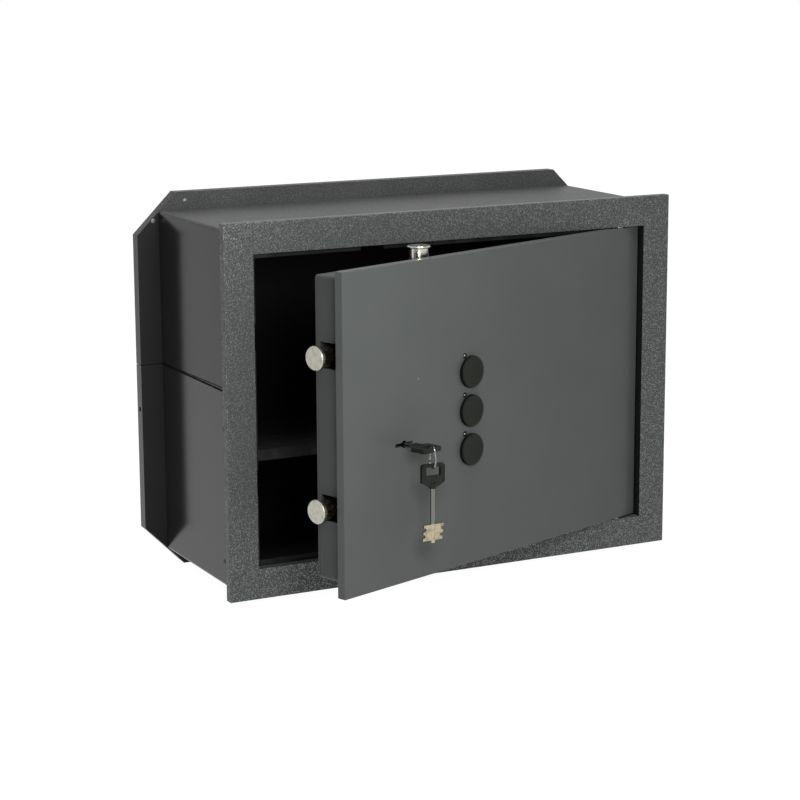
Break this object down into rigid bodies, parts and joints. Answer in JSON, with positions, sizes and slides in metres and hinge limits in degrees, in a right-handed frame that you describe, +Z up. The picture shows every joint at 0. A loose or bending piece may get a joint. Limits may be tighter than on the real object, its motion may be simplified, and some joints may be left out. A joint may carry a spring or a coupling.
{
  "type": "wall safe",
  "caption": "Wall safe with anchor flange, pivoted door ajar, sliding round bolts, combination knobs, double-bit key and a shelf.",
  "frame": {"origin": "centre of the back panel's outer face", "axes": "+X to the hinge side, +Y out of the back, +Z up; the front faces -Y"},
  "size_m": [0.486, 0.3297, 0.358],
  "materials": {
    "hammered_paint": "dark grey hammered paint, semi-gloss",
    "satin_paint": "dark grey smooth satin paint",
    "inner_paint": "black paint, dull",
    "nickel_plate": "satin nickel plate",
    "bright_steel": "bright steel",
    "zinc_plate": "zinc plated steel",
    "pale_brass": "pale brass, satin",
    "knob_plastic": "black plastic, satin",
    "key_plastic": "black plastic, satin"
  },
  "bodies": {
    "housing": {"upper_shell": "hammered_paint", "lower_shell": "hammered_paint", "back_panel": "hammered_paint", "front_frame": "hammered_paint", "door_stop": "hammered_paint", "hinge_pin_top": "bright_steel", "hinge_pin_bottom": "bright_steel", "shelf": "inner_paint", "shelf_bracket_left": "inner_paint", "shelf_bracket_right": "inner_paint"},
    "door": {"door_plate": "satin_paint", "index_pin_1": "bright_steel", "index_pin_2": "bright_steel", "index_pin_3": "bright_steel", "lock_box": "satin_paint", "rear_cover": "satin_paint", "cover_screw_1": "zinc_plate", "cover_screw_2": "zinc_plate", "cover_screw_3": "zinc_plate", "cover_screw_4": "zinc_plate", "guide_stud_1": "zinc_plate", "guide_stud_2": "zinc_plate", "guide_stud_3": "zinc_plate", "guide_stud_4": "zinc_plate", "lock_case": "zinc_plate", "lever_pack": "pale_brass"},
    "bolt_carriage": {"carriage_plate": "zinc_plate", "side_bolt_upper": "nickel_plate", "side_bolt_lower": "nickel_plate", "side_bolt_nut_upper": "zinc_plate", "side_bolt_nut_lower": "zinc_plate", "fence": "zinc_plate", "lock_bolt": "pale_brass"},
    "upright_top": {"top_bolt": "nickel_plate", "top_bolt_rod": "zinc_plate"},
    "knob_set_1": {"knob_1": "knob_plastic", "spindle_1": "zinc_plate", "wheel_1": "pale_brass", "wheel_nut_1": "zinc_plate"},
    "knob_set_2": {"knob_2": "knob_plastic", "spindle_2": "zinc_plate", "wheel_2": "pale_brass", "wheel_nut_2": "zinc_plate"},
    "knob_set_3": {"knob_3": "knob_plastic", "spindle_3": "zinc_plate", "wheel_3": "pale_brass", "wheel_nut_3": "zinc_plate"},
    "lock_key": {"key_blade": "pale_brass", "key_head": "key_plastic"},
    "key_ring": {"split_ring": "bright_steel"},
    "spare_key": {"spare_key_blade": "pale_brass", "spare_key_head": "key_plastic"}
  },
  "joints": [
    {"name": "door_hinge", "type": "hinge", "parent": "housing", "child": "door", "pos_m": [0.1765, -0.1815, 0], "axis": [0, 0, 1], "range_deg": [-19.8, 75.2]},
    {"name": "carriage_slide", "type": "slide", "parent": "door", "child": "bolt_carriage", "axis": [0.9409, 0.3387, 0], "range_m": [0, 0.012]},
    {"name": "top_bolt_slide", "type": "slide", "parent": "door", "child": "upright_top", "axis": [0, 0, -1], "range_m": [0, 0.012]},
    {"name": "key_turn", "type": "hinge", "parent": "door", "child": "lock_key", "pos_m": [-0.10659, -0.2882, -0.017], "axis": [-0.3387, 0.9409, 0], "range_deg": [0, 180]},
    {"name": "knob_turn_1", "type": "hinge", "parent": "door", "child": "knob_set_1", "pos_m": [-0.02615, -0.25924, 0.0348], "axis": [-0.3387, 0.9409, 0], "continuous": true},
    {"name": "knob_turn_2", "type": "hinge", "parent": "door", "child": "knob_set_2", "pos_m": [-0.02615, -0.25924, -0.0004], "axis": [-0.3387, 0.9409, 0], "continuous": true},
    {"name": "knob_turn_3", "type": "hinge", "parent": "door", "child": "knob_set_3", "pos_m": [-0.02615, -0.25924, -0.0356], "axis": [-0.3387, 0.9409, 0], "continuous": true},
    {"name": "ring_swing", "type": "hinge", "parent": "lock_key", "child": "key_ring", "pos_m": [-0.09535, -0.31944, -0.02323], "axis": [0.9781, -0.2079, 0], "range_deg": [-60, 12]},
    {"name": "spare_swing", "type": "hinge", "parent": "key_ring", "child": "spare_key", "pos_m": [-0.09535, -0.31944, -0.03283], "axis": [0.2079, 0.9781, 0], "range_deg": [-30, 30]}
  ],
  "couplings": [
    {"joint": "top_bolt_slide", "follows": "carriage_slide", "ratio": 1},
    {"joint": "key_turn", "follows": "carriage_slide", "rad_per_m": 261.8}
  ]
}
